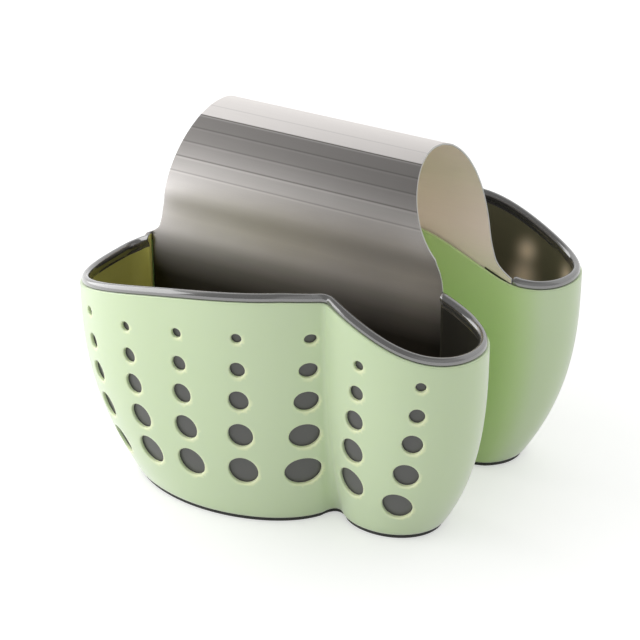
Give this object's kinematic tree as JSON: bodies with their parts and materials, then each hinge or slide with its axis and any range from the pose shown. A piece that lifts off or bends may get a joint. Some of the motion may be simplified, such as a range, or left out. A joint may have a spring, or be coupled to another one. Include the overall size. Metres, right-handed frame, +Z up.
{
  "type": "sink organizer",
  "caption": "Saddle sink organizer: sheet-steel band hung over a sink divider, carrying a lined oval-holed plastic basket on each side.",
  "frame": {"origin": "on the surface that the feet stand on, under the middle of the saddle band", "axes": "+X along the baskets from the big lobes to the small lobes, +Y from the front basket to the rear one, +Z up"},
  "size_m": [0.1909, 0.184, 0.1552],
  "materials": {
    "band_steel": "brushed along its width, satin",
    "green_plastic": "pale green, satin moulded",
    "grey_plastic": "dark warm grey, satin moulded",
    "foot_rubber": "dark grey, matt",
    "screw_steel": "plain turned steel"
  },
  "bodies": {
    "front_basket": {"saddle_band": "band_steel", "front_shell": "green_plastic", "front_liner": "grey_plastic", "front_foot_pad": "foot_rubber", "front_screw_1": "screw_steel", "front_screw_2": "screw_steel", "front_screw_3": "screw_steel"},
    "rear_basket": {"rear_shell": "green_plastic", "rear_liner": "grey_plastic", "rear_foot_pad": "foot_rubber", "rear_screw_1": "screw_steel", "rear_screw_2": "screw_steel", "rear_screw_3": "screw_steel"}
  },
  "joints": [
    {"name": "band_flex", "type": "hinge", "parent": "front_basket", "child": "rear_basket", "pos_m": [0, 0, 0.14521], "axis": [1, 0, 0], "range_deg": [-6, 12], "stiffness_Nm_per_rad": 10, "deforming": ["saddle_band"]}
  ]
}
